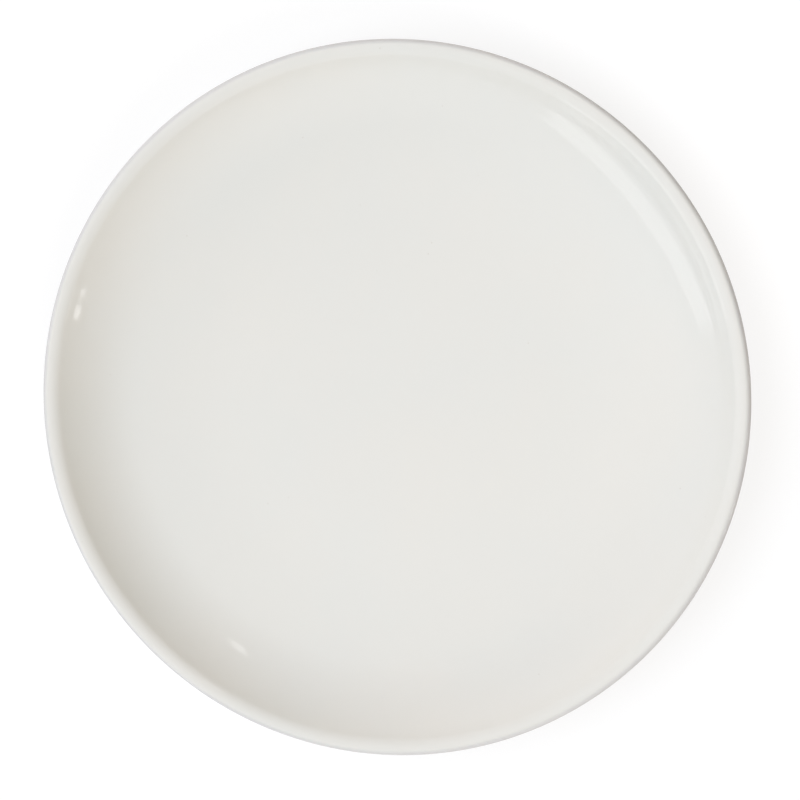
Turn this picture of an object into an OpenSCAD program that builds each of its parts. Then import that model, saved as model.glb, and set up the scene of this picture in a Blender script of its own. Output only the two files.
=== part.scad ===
// Coupe dinner plate: a round rimless plate of glazed porcelain on a low foot ring.
// A fired clay body carries two coats of glaze that never meet. The main coat runs over the floor,
// the wall, the lip and the back, down the outside of the foot ring. The other coat lines the well
// inside the ring. The ring's tread, on which the plate stands and is fired, is bare clay.
// The section is a chain of tangent lines and arcs, turned about the Z axis.
// The origin is on the axis, in the plane of the tread.

/* [Plate] */
// Diameter over the lip
rim_d = 270; // [220:1:320]
// Height from the tread to the crest of the lip
plate_h = 28; // [22:0.5:36]
// Thickness of the floor, with its glaze
floor_t = 4.5; // [3.5:0.1:6]

/* [Wall] */
// Breadth of the wall, from the edge of the floor out to the lip
wall_w = 32; // [26:1:48]
// Breadth of the floor's outer band, which rises gently towards the wall
ease_w = 42; // [20:1:55]
// Slope of the floor where it meets the wall, in degrees
ease_slope = 9; // [3:0.5:13]

/* [Lip] */
// Radius of the roll from the inner wall to the crest
roll_r = 5.5; // [4:0.5:12]
// Radius of the outer edge, from the crest to the back
edge_r = 2.2; // [1.4:0.1:3.5]

/* [Foot ring] */
// How far the ring's outside stands in from the edge of the floor
foot_inset = 18; // [6:0.5:30]
// Width of the ring, bare clay
foot_w = 5; // [3:0.5:8]
// Height of the ring, from its tread to the back of the floor
foot_h = 3; // [2:0.25:5]
// Radius of the fillets between the ring and the back
fillet_r = 1.5; // [0.5:0.25:3]
// Radius of the sponged edges of the tread
tread_edge_r = 0.8; // [0.3:0.1:1.5]

/* [Glaze] */
// Thickness of each coat
glaze_t = 0.35; // [0.2:0.05:0.6]
// Height of the bare clay above the tread
bare_h = 1; // [0.6:0.1:1.5]

/* [Hidden] */
// How far a chord may lie from the arc that it stands for
chord_error = 0.01;
$fn = 180;

// Levels of the back of the floor and of the floor itself
back_z = foot_h;
floor_z = foot_h + floor_t;
floor_r = rim_d / 2 - wall_w;
crest_r = rim_d / 2 - edge_r;

// The floor is flat in the middle; an arc lifts its outer band to the slope where the wall starts
ease_r = ease_w / sin(ease_slope);
ease_c = [floor_r - ease_w, floor_z + ease_r];
floor_edge = ease_c + ease_r * [sin(ease_slope), -cos(ease_slope)];

// Two tangent arcs make the wall: a hollow one from the edge of the floor, then the roll of the lip,
// which is level at the crest. They meet at the wall's steepest slope
roll_c = [crest_r, plate_h - roll_r];
floor_normal = [-sin(ease_slope), cos(ease_slope)];
roll_reach = roll_c - floor_edge;
wall_r = (roll_reach * roll_reach - roll_r ^ 2) / (2 * (roll_reach * floor_normal + roll_r));
wall_c = floor_edge + wall_r * floor_normal;
wall_slope = heading(wall_c, roll_c) + 90;

// The sides of the foot ring, with a fillet that the glaze line leaves room for
ring_out_r = floor_r - foot_inset;
ring_in_r = ring_out_r - foot_w;
side_fillet_share = 0.8;
ring_fillet_r = min(fillet_r, side_fillet_share * (foot_h - bare_h));
ring_edge_r = min(tread_edge_r, bare_h, foot_w / 2);
fillet_z = back_z - ring_fillet_r;
out_fillet_c = [ring_out_r + glaze_t + ring_fillet_r, fillet_z];
in_fillet_c = [ring_in_r - glaze_t - ring_fillet_r, fillet_z];

// The back rises from the foot ring in one arc, which touches the round of the lip's outer edge
edge_c = [crest_r, plate_h - edge_r];
back_run = crest_r - out_fillet_c.x;
edge_rise = edge_c.y - back_z;
back_r = (back_run ^ 2 + edge_rise ^ 2 - edge_r ^ 2) / (2 * (edge_rise - edge_r));
back_c = [out_fillet_c.x, back_z + back_r];
edge_end = heading(back_c, edge_c);

// Direction from one point to another, in degrees from the radius
function heading(from, to) = atan2(to.y - from.y, to.x - from.x);

// Points of an arc from one heading to another
function arc(c, r, from, to) =
    let (steps = ceil(abs(to - from) / (2 * acos(1 - chord_error / r))))
    [for (i = [0 : steps]) let (a = from + (to - from) * i / steps) c + r * [cos(a), sin(a)]];

function reversed(points) = [for (i = [len(points) - 1 : -1 : 0]) points[i]];

// Line at a depth under the main coat's surface: floor, wall, lip, back, side of the ring
function coat_line(depth) = concat(
    [[0, floor_z - depth]],
    arc(ease_c, ease_r + depth, -90, ease_slope - 90),
    arc(wall_c, wall_r + depth, ease_slope - 90, wall_slope - 90),
    arc(roll_c, roll_r - depth, wall_slope + 90, 90),
    arc(edge_c, edge_r - depth, 90, edge_end),
    arc(back_c, back_r - depth, edge_end, -90),
    arc(out_fillet_c, ring_fillet_r + depth, 90, 180),
    [[ring_out_r + glaze_t - depth, bare_h]]
);

// Line at a depth under the well coat's surface: side of the ring, back of the floor
function well_line(depth) = concat(
    [[ring_in_r - glaze_t + depth, bare_h]],
    arc(in_fillet_c, ring_fillet_r + depth, 0, 90),
    [[0, back_z + depth]]
);

// Bare line of the tread, from the outside of the ring to the inside
function tread_line() = concat(
    arc([ring_out_r - ring_edge_r, ring_edge_r], ring_edge_r, 0, -90),
    arc([ring_in_r + ring_edge_r, ring_edge_r], ring_edge_r, -90, -180)
);

// A coat lies between its own surface and the same line at the depth of the glaze
module coat(surface, clay) {
    rotate_extrude() polygon(concat(surface, reversed(clay)));
}

module clay_body() {
    color([0.93, 0.90, 0.84])
        rotate_extrude() polygon(concat(coat_line(glaze_t), tread_line(), well_line(glaze_t)));
}

module main_glaze() {
    color([0.90, 0.91, 0.89]) coat(coat_line(0), coat_line(glaze_t));
}

module foot_well_glaze() {
    color([0.90, 0.91, 0.89]) coat(well_line(0), well_line(glaze_t));
}

clay_body();
main_glaze();
foot_well_glaze();
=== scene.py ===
import math

import bpy
import numpy as np
from mathutils import Matrix, Vector


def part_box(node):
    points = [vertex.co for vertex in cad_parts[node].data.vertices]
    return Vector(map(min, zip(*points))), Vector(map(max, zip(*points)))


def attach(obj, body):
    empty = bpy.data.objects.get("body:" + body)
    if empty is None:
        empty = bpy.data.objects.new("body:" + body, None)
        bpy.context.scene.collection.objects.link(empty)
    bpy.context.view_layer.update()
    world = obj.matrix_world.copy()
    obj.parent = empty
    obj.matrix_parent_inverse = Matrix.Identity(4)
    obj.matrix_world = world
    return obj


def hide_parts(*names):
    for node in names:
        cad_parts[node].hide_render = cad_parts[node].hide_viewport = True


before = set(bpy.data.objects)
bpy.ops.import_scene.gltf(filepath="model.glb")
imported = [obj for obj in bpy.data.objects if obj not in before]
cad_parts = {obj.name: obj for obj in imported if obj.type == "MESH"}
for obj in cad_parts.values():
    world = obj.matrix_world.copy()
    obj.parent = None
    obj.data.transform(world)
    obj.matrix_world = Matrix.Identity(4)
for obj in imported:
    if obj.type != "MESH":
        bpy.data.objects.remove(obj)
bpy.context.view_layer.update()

# The plate's section, in metres, as in the solids
MM = 0.001
RIM_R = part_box("main_glaze")[1].x
PLATE_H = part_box("main_glaze")[1].z
FLOOR_T = 4.5 * MM
WALL_W = 32 * MM
EASE_W = 42 * MM
EASE_SLOPE = math.radians(9)
ROLL_R = 5.5 * MM
EDGE_R = 2.2 * MM
FOOT_INSET = 18 * MM
FOOT_W = 5 * MM
FOOT_H = 3 * MM
FILLET_R = 1.5 * MM
TREAD_EDGE_R = 0.8 * MM
GLAZE_T = 0.35 * MM
BARE_H = 1 * MM

# How far the firing has moved the plate: the lip dips, the outline is a little oval
WARP_DIP = 0.25 * MM
WARP_OVAL = 0.2 * MM
# How far the wiped edge of the glaze wanders along the foot ring, and the height that it wanders under
WANDER = 0.12 * MM
WANDER_UNDER = BARE_H + 1.5 * GLAZE_T
# Their waves around the plate: count, start in radians, share
DIP_WAVES = ((2, 0.7, 0.6), (3, 2.2, 0.4))
OVAL_WAVES = ((2, 1.9, 1.0),)
WANDER_WAVES = ((5, 1.0, 1.0), (13, 2.0, 0.6), (29, 0.0, 0.4))

# Steps around the plate, and along each stretch of the section
SEGMENTS = 288
FLOOR_STEPS = 6
EASE_STEPS = 8
WALL_STEPS = 14
ROLL_STEPS = 9
EDGE_STEPS = 11
BACK_STEPS = 16
FILLET_STEPS = 5
WELL_STEPS = 8
ROUND_STEPS = 6
# Steps are multiplied by this on the surfaces that show, and by 1 under the glaze
FINE = 2

BACK_Z = FOOT_H
FLOOR_Z = FOOT_H + FLOOR_T
FLOOR_R = RIM_R - WALL_W
CREST_R = RIM_R - EDGE_R
EASE_R = EASE_W / math.sin(EASE_SLOPE)
EASE_C = Vector((FLOOR_R - EASE_W, FLOOR_Z + EASE_R))
FLOOR_EDGE = EASE_C + EASE_R * Vector((math.sin(EASE_SLOPE), -math.cos(EASE_SLOPE)))
ROLL_C = Vector((CREST_R, PLATE_H - ROLL_R))
FLOOR_NORMAL = Vector((-math.sin(EASE_SLOPE), math.cos(EASE_SLOPE)))
ROLL_REACH = ROLL_C - FLOOR_EDGE
WALL_R = (ROLL_REACH.length_squared - ROLL_R**2) / (2 * (ROLL_REACH.dot(FLOOR_NORMAL) + ROLL_R))
WALL_C = FLOOR_EDGE + WALL_R * FLOOR_NORMAL
WALL_SLOPE = math.atan2(ROLL_C.x - WALL_C.x, WALL_C.y - ROLL_C.y)
RING_OUT_R = FLOOR_R - FOOT_INSET
RING_IN_R = RING_OUT_R - FOOT_W
OUT_FILLET_C = Vector((RING_OUT_R + GLAZE_T + FILLET_R, BACK_Z - FILLET_R))
IN_FILLET_C = Vector((RING_IN_R - GLAZE_T - FILLET_R, BACK_Z - FILLET_R))
EDGE_C = Vector((CREST_R, PLATE_H - EDGE_R))
BACK_RUN = CREST_R - OUT_FILLET_C.x
EDGE_RISE = EDGE_C.y - BACK_Z
BACK_R = (BACK_RUN**2 + EDGE_RISE**2 - EDGE_R**2) / (2 * (EDGE_RISE - EDGE_R))
BACK_C = Vector((OUT_FILLET_C.x, BACK_Z + BACK_R))
EDGE_END = math.atan2(EDGE_C.y - BACK_C.y, EDGE_C.x - BACK_C.x)
QUARTER = math.pi / 2


def arc(centre, radius, start, end, steps):
    """Points of an arc, both ends among them."""
    angles = np.linspace(start, end, steps + 1)
    return [(centre[0] + radius * math.cos(a), centre[1] + radius * math.sin(a)) for a in angles]


def rings(radius, height, count):
    """Points from near the axis out to a radius, at one height."""
    return [(radius * i / count, height) for i in range(1, count)]


def coat_line(depth, fine):
    """The main coat at a depth under its surface: floor, wall, lip, back, side of the foot ring."""
    line = [(0, FLOOR_Z - depth)]
    line += rings(EASE_C.x, FLOOR_Z - depth, FLOOR_STEPS * fine)
    line += arc(EASE_C, EASE_R + depth, -QUARTER, EASE_SLOPE - QUARTER, EASE_STEPS * fine)
    line += arc(WALL_C, WALL_R + depth, EASE_SLOPE - QUARTER, WALL_SLOPE - QUARTER, WALL_STEPS * fine)[1:]
    line += arc(ROLL_C, ROLL_R - depth, WALL_SLOPE + QUARTER, QUARTER, ROLL_STEPS * fine)[1:]
    line += arc(EDGE_C, EDGE_R - depth, QUARTER, EDGE_END, EDGE_STEPS * fine)[1:]
    line += arc(BACK_C, BACK_R - depth, EDGE_END, -QUARTER, BACK_STEPS * fine)[1:]
    line += arc(OUT_FILLET_C, FILLET_R + depth, QUARTER, 2 * QUARTER, FILLET_STEPS * fine)[1:]
    line += [(RING_OUT_R + GLAZE_T - depth, BARE_H + GLAZE_T)]
    return line


def well_line(depth, fine):
    """The well coat at a depth under its surface: back of the floor, side of the foot ring."""
    line = [(0, BACK_Z + depth)]
    line += rings(IN_FILLET_C.x, BACK_Z + depth, WELL_STEPS * fine)
    line += arc(IN_FILLET_C, FILLET_R + depth, QUARTER, 0, FILLET_STEPS * fine)
    line += [(RING_IN_R - GLAZE_T + depth, BARE_H + GLAZE_T)]
    return line


def coat_end(first, second):
    """The rounded end of a coat on the side of the foot ring, from one of its lines to the other."""
    centre = ((first[-1][0] + second[-1][0]) / 2, first[-1][1])
    half = (second[-1][0] - first[-1][0]) / 2
    angles = np.linspace(0, math.pi, ROUND_STEPS + 1)[1:-1]
    return [(centre[0] - half * math.cos(a), centre[1] - abs(half) * math.sin(a)) for a in angles]


def tread_line():
    """The bare tread, from the outside of the foot ring to the inside."""
    outer = (RING_OUT_R - TREAD_EDGE_R, TREAD_EDGE_R)
    inner = (RING_IN_R + TREAD_EDGE_R, TREAD_EDGE_R)
    outer_round = arc(outer, TREAD_EDGE_R, 0, -QUARTER, ROUND_STEPS)
    inner_round = arc(inner, TREAD_EDGE_R, -QUARTER, -2 * QUARTER, ROUND_STEPS)
    return outer_round + inner_round


def swell(turn, waves):
    """The sum of waves around the plate, each from 0 to its share."""
    return sum(share * (1 - np.cos(count * turn + start)) / 2 for count, start, share in waves)


def warped(r, z, turn):
    """A point of the turned section after firing: never outside the true form."""
    reach = r / RIM_R
    r = r - WARP_OVAL * reach**2 * swell(turn, OVAL_WAVES)
    z = z - WARP_DIP * reach**3 * (z / PLATE_H) * swell(turn, DIP_WAVES)
    return r * np.cos(turn), r * np.sin(turn), z


def turned(name, line, wander=0.0):
    """A closed piece: the line, which starts and ends on the axis, turned about it."""
    turn = np.arange(SEGMENTS) * (2 * math.pi / SEGMENTS)
    edge = sum(share * np.sin(count * turn + start) for count, start, share in WANDER_WAVES)
    points = [(0, 0, line[0][1])]
    for r, z in line[1:-1]:
        heights = np.full(SEGMENTS, z) + (wander * edge if z < WANDER_UNDER else 0)
        points += list(zip(*warped(np.full(SEGMENTS, r), heights, turn)))
    points.append((0, 0, line[-1][1]))
    last = len(points) - 1
    count = len(line) - 2
    faces = []
    for k in range(SEGMENTS):
        n = (k + 1) % SEGMENTS
        faces.append((0, 1 + k, 1 + n))
        for i in range(count - 1):
            low, high = 1 + i * SEGMENTS, 1 + (i + 1) * SEGMENTS
            faces.append((low + k, high + k, high + n, low + n))
        top = 1 + (count - 1) * SEGMENTS
        faces.append((top + k, last, top + n))
    mesh = bpy.data.meshes.new(name)
    mesh.from_pydata(points, [], faces)
    mesh.polygons.foreach_set("use_smooth", [True] * len(mesh.polygons))
    mesh.update()
    piece = bpy.data.objects.new(name, mesh)
    bpy.context.scene.collection.objects.link(piece)
    return piece


class Nodes:
    """A node tree, with short ways to add to it."""

    def __init__(self, tree):
        self.tree = tree

    def add(self, kind, **inputs):
        made = self.tree.nodes.new(kind)
        for key, value in inputs.items():
            self.put(made.inputs[key.replace("_", " ")], value)
        return made

    def put(self, socket, value):
        if isinstance(value, bpy.types.NodeSocket):
            self.tree.links.new(value, socket)
        else:
            socket.default_value = value

    def span(self, value, source, target=(0.0, 1.0), smooth=False):
        """The value, carried from one range to another."""
        made = self.add("ShaderNodeMapRange", Value=value)
        for key, limit in zip(("From Min", "From Max", "To Min", "To Max"), (*source, *target)):
            made.inputs[key].default_value = limit
        if smooth:
            made.interpolation_type = "SMOOTHSTEP"
        return made.outputs["Result"]

    def math(self, operation, a, b=None):
        made = self.tree.nodes.new("ShaderNodeMath")
        made.operation = operation
        self.put(made.inputs[0], a)
        if b is not None:
            self.put(made.inputs[1], b)
        return made.outputs["Value"]

    def square(self, value):
        return self.math("MULTIPLY", value, value)

    def shows_itself(self):
        """1 on rays that show a thing as it is: from the camera, mirrored or through glass."""
        paths = self.add("ShaderNodeLightPath").outputs
        mirrored = self.math("MAXIMUM", paths["Is Glossy Ray"], paths["Is Transmission Ray"])
        return self.math("MAXIMUM", paths["Is Camera Ray"], mirrored)


class Surface(Nodes):
    """A material's node tree, on the piece's own coordinates in metres."""

    def __init__(self, name):
        self.material = bpy.data.materials.new(name)
        self.material.use_nodes = True
        super().__init__(self.material.node_tree)
        self.shader = self.tree.nodes["Principled BSDF"]
        self.coords = self.add("ShaderNodeTexCoord").outputs["Object"]

    def axes(self):
        return self.add("ShaderNodeSeparateXYZ", Vector=self.coords).outputs

    def noise(self, scale, detail=2.0, rough=0.5, source=(0.3, 0.7), target=(0.0, 1.0)):
        """Noise of a scale, of which the source range is carried to the target range."""
        made = self.add("ShaderNodeTexNoise", Vector=self.coords, Scale=scale)
        made.inputs["Detail"].default_value = detail
        made.inputs["Roughness"].default_value = rough
        return self.span(made.outputs["Fac"], source, target)

    def dots(self, scale, source, target):
        """Small round dots, by the distance from their middles."""
        made = self.add("ShaderNodeTexVoronoi", Vector=self.coords, Scale=scale)
        return self.span(made.outputs["Distance"], source, target, smooth=True)

    def mix(self, factor, a, b):
        made = self.tree.nodes.new("ShaderNodeMix")
        made.data_type = "RGBA"
        self.put(made.inputs["Factor"], factor)
        self.put(made.inputs[6], a)
        self.put(made.inputs[7], b)
        return made.outputs[2]

    def axis_distance(self):
        axes = self.axes()
        squares = self.math("ADD", self.square(axes["X"]), self.square(axes["Y"]))
        return self.math("SQRT", squares)

    def bump(self, height, distance, strength=1.0):
        made = self.add("ShaderNodeBump", Height=height, Distance=distance, Strength=strength)
        self.put(self.shader.inputs["Normal"], made.outputs["Normal"])


def glaze_material():
    """Off-white gloss glaze: clouded in tone, greyer on the lip's outer rounding (partly where the glaze
    is thin, partly painted shade where the edge turns away from the light), with few pinholes.
    """
    cool = (0.785, 0.796, 0.760, 1)
    warm = (0.801, 0.801, 0.757, 1)
    # Greyer lip colour: partly thin glaze, partly painted shade standing for the dark outline where the
    # edge turns away from the light
    lip_thin_and_shade = (0.672, 0.674, 0.684, 1)
    speck = (0.55, 0.50, 0.42, 1)
    bump_depth = 0.05 * MM
    lip_thin_and_shade_band = (CREST_R, CREST_R + 0.6 * EDGE_R)

    n = Surface("white_glaze")
    colour = n.mix(n.noise(16, detail=3, rough=0.55), cool, warm)
    # Mask on the lip's outer rounding, where thin glaze and painted shade darken the edge
    lip_thin_and_shade_mask = n.span(n.axis_distance(), lip_thin_and_shade_band, (0, 0.8), smooth=True)
    patchy = n.noise(90, source=(0.2, 0.8), target=(0.5, 1.0))
    colour = n.mix(n.math("MULTIPLY", lip_thin_and_shade_mask, patchy), colour, lip_thin_and_shade)
    pinholes = n.dots(85, (0.012, 0.03), (0.35, 0.0))
    colour = n.mix(pinholes, colour, speck)
    n.put(n.shader.inputs["Base Color"], colour)
    roughness = n.noise(240, detail=4, rough=0.6, target=(0.04, 0.08))
    n.put(n.shader.inputs["Roughness"], roughness)
    n.put(n.shader.inputs["IOR"], 1.5)
    waves = n.noise(42, detail=1, rough=0.4, source=(0.2, 0.8))
    peel = n.noise(420, source=(0.2, 0.8), target=(0.0, 0.03))
    n.bump(n.math("ADD", waves, peel), bump_depth)
    return n.material


def clay_material():
    """Bare fired clay on the tread: matt, warm, fine-grained, greyed where it has rubbed on tables."""
    pale = (0.800, 0.755, 0.665, 1)
    deep = (0.735, 0.680, 0.580, 1)
    grit = (0.36, 0.29, 0.21, 1)
    rubbed = (0.60, 0.575, 0.53, 1)
    rubbed_height = 0.15 * MM
    bump_depth = 0.05 * MM

    n = Surface("bare_clay")
    colour = n.mix(n.noise(900, detail=4, rough=0.65), deep, pale)
    low_down = n.span(n.axes()["Z"], (0, rubbed_height), (0.7, 0), smooth=True)
    patchy = n.noise(130, detail=4, rough=0.7, source=(0.45, 0.7))
    colour = n.mix(n.math("MULTIPLY", low_down, patchy), colour, rubbed)
    grains = n.dots(700, (0.06, 0.14), (0.7, 0))
    colour = n.mix(grains, colour, grit)
    n.put(n.shader.inputs["Base Color"], colour)
    roughness = n.noise(600, detail=3, target=(0.75, 0.95))
    n.put(n.shader.inputs["Roughness"], roughness)
    n.put(n.shader.inputs["Specular IOR Level"], 0.3)
    n.bump(n.noise(2200, detail=4, rough=0.7, source=(0.2, 0.8)), bump_depth, strength=0.8)
    return n.material


# The plate
glaze = glaze_material()
clay = clay_material()

coat_out, coat_in = coat_line(0, FINE), coat_line(GLAZE_T, 1)
well_out, well_in = well_line(0, FINE), well_line(GLAZE_T, 1)
main_coat = turned("glaze_coat", coat_out + coat_end(coat_out, coat_in) + coat_in[::-1], WANDER)
well_coat = turned("foot_well_coat", well_in + coat_end(well_in, well_out) + well_out[::-1], WANDER)
body = turned("fired_clay", coat_in + tread_line() + well_in[::-1])

for piece, node, slot, material in (
    (main_coat, "main_glaze", "white_glaze", glaze),
    (well_coat, "foot_well_glaze", "white_glaze", glaze),
    (body, "clay_body", "bare_clay", clay),
):
    piece.data.materials.append(material)
    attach(piece, "root")
    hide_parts(node)

# Camera: nearly overhead, leaning to the right and a little up in the picture
TILT = math.radians(10.77)
LEAN = math.radians(25.1)
DISTANCE = 1.2
AIM = Vector((3.35 * MM, 0, 25 * MM))
# Sensor width and focal length, in millimetres
SENSOR_W = 36
LENS = 143.75

towards = Vector((math.sin(TILT) * math.cos(LEAN), math.sin(TILT) * math.sin(LEAN), math.cos(TILT)))
right = Vector((0, 1, 0)).cross(towards).normalized()
up = towards.cross(right)
place = AIM + towards * DISTANCE
camera_data = bpy.data.cameras.new("camera")
camera_data.sensor_width = SENSOR_W
camera_data.lens = LENS
camera = bpy.data.objects.new("camera", camera_data)
camera.matrix_world = Matrix(
    (
        (right.x, up.x, towards.x, place.x),
        (right.y, up.y, towards.y, place.y),
        (right.z, up.z, towards.z, place.z),
        (0, 0, 0, 1),
    )
)
bpy.context.scene.collection.objects.link(camera)
bpy.context.scene.camera = camera

# Floor: white to the eye, with the plate's shadow on it
FLOOR_SIZE = 8
FLOOR_GREY = (0.25, 0.25, 0.25, 1)
FLOOR_ROUGHNESS = 0.9
FLOOR_LIFT = 0.8

bpy.ops.mesh.primitive_plane_add(size=FLOOR_SIZE)
floor = bpy.context.object
floor.name = "floor"
paint = Surface("floor_white")
paint.put(paint.shader.inputs["Base Color"], FLOOR_GREY)
paint.put(paint.shader.inputs["Roughness"], FLOOR_ROUGHNESS)
paint.put(paint.shader.inputs["Specular IOR Level"], 0.0)
lift = paint.add("ShaderNodeEmission", Strength=paint.math("MULTIPLY", paint.shows_itself(), FLOOR_LIFT))
both = paint.tree.nodes.new("ShaderNodeAddShader")
paint.put(both.inputs[0], paint.shader.outputs[0])
paint.put(both.inputs[1], lift.outputs[0])
paint.put(paint.tree.nodes["Material Output"].inputs["Surface"], both.outputs[0])
floor.data.materials.append(paint.material)

# World: white to the eye, dim and warm as light
AMBIENT_TINT = (1, 0.875, 0.66, 1)
AMBIENT_STRENGTH = 0.317

world = bpy.data.worlds.new("world")
bpy.context.scene.world = world
world.use_nodes = True
sky = Nodes(world.node_tree)
ambient = sky.tree.nodes["Background"]
sky.put(ambient.inputs["Color"], AMBIENT_TINT)
sky.put(ambient.inputs["Strength"], AMBIENT_STRENGTH)
white = sky.add("ShaderNodeBackground", Color=(1, 1, 1, 1), Strength=1.0)
either = sky.add("ShaderNodeMixShader", Fac=sky.shows_itself())
sky.put(either.inputs[1], ambient.outputs[0])
sky.put(either.inputs[2], white.outputs[0])
sky.put(sky.tree.nodes["World Output"].inputs["Surface"], either.outputs[0])

# Soft lamps far off: degrees down from overhead, degrees from +X towards +Y,
# degrees that the disc is wide, strength, colour
LAMPS = {
    "key": (30, 180, 50, 1.68, (0.76, 0.85, 1.0)),
    "near_fill": (54, 300, 45, 1.3, (1.0, 0.96, 0.99)),
    "far_fill": (74, 120, 30, 1.04, (1.0, 0.89, 0.89)),
}
for name, (down, around, width, strength, tint) in LAMPS.items():
    data = bpy.data.lights.new(name, "SUN")
    data.angle = math.radians(width)
    data.energy = strength
    data.color = tint
    lamp = bpy.data.objects.new(name, data)
    lamp.rotation_euler = (0, math.radians(down), math.radians(around))
    lamp.visible_glossy = False
    bpy.context.scene.collection.objects.link(lamp)


def highlight(name, spot, facing, width, height, brightness):
    """A lamp that shows only as a highlight in the glaze. Places and sizes are in metres."""
    data = bpy.data.lights.new(name, "AREA")
    data.shape = "RECTANGLE"
    data.size, data.size_y = width, height
    data.energy = brightness * math.pi * width * height
    lamp = bpy.data.objects.new(name, data)
    lamp.location = spot
    lamp.rotation_euler = (Vector(facing) - Vector(spot)).to_track_quat("-Z", "Y").to_euler()
    lamp.visible_camera = False
    lamp.visible_diffuse = False
    bpy.context.scene.collection.objects.link(lamp)
    return data


# An upright softbox, an arched band with soft edges: the long highlight opposite it
SOFTBOX_FAR = 0.5
SOFTBOX_AROUND = math.radians(214.5)
SOFTBOX_SIZE = 0.4
SOFTBOX_BOTTOM = -0.01
SOFTBOX_BRIGHTNESS = 1.1
# The band's half width, its top and foot in the middle, and how far both fall to its sides
ARCH_HALF = 0.167
ARCH_TOP = 0.362
ARCH_FOOT = 0.115
ARCH_FALL = 0.105
# How wide its fades are, at the top and sides and at the foot
SOFT_EDGE = 0.03
SOFT_FOOT = 0.08

spot = Vector((math.cos(SOFTBOX_AROUND), math.sin(SOFTBOX_AROUND), 0)) * SOFTBOX_FAR
spot.z = SOFTBOX_BOTTOM + SOFTBOX_SIZE / 2
data = highlight("arch_softbox", spot, (0, 0, spot.z), SOFTBOX_SIZE, SOFTBOX_SIZE, SOFTBOX_BRIGHTNESS)
data.use_nodes = True
box = Nodes(data.node_tree)
on_panel = box.add("ShaderNodeNewGeometry").outputs["Parametric"]
panel = box.add("ShaderNodeSeparateXYZ", Vector=on_panel).outputs
across = box.math("ABSOLUTE", box.span(panel["X"], (0, 1), (-SOFTBOX_SIZE / 2, SOFTBOX_SIZE / 2)))
height = box.span(panel["Y"], (0, 1), (SOFTBOX_BOTTOM, SOFTBOX_BOTTOM + SOFTBOX_SIZE))
fall = box.math("MULTIPLY", box.square(box.math("DIVIDE", across, ARCH_HALF)), ARCH_FALL)
band = box.math("ADD", height, fall)
under_top = box.math("SUBTRACT", ARCH_TOP, band)
within_sides = box.math("SUBTRACT", ARCH_HALF, across)
inside = box.math("MINIMUM", under_top, within_sides)
lit = box.span(inside, (-SOFT_EDGE / 2, SOFT_EDGE / 2), smooth=True)
over_foot = box.span(band, (ARCH_FOOT - SOFT_FOOT / 2, ARCH_FOOT + SOFT_FOOT / 2), smooth=True)
box.put(box.tree.nodes["Emission"].inputs["Strength"], box.math("MULTIPLY", lit, over_foot))

# Small lamps, two close together on the right and one high up at the back, all facing the plate:
# place, width, height, brightness
SLOTS = {
    "right_slot": ((0.609, -0.255, 0.160), 0.034, 0.105, 4.0),
    "right_slot_edge": ((0.590, -0.296, 0.156), 0.018, 0.090, 3.3),
    "high_slot": ((0.170, 0.435, 0.703), 0.038, 0.100, 2.5),
}
for name, (spot, width, height, brightness) in SLOTS.items():
    highlight(name, spot, (0, 0, 0), width, height, brightness)

bpy.context.scene.view_settings.view_transform = "Standard"
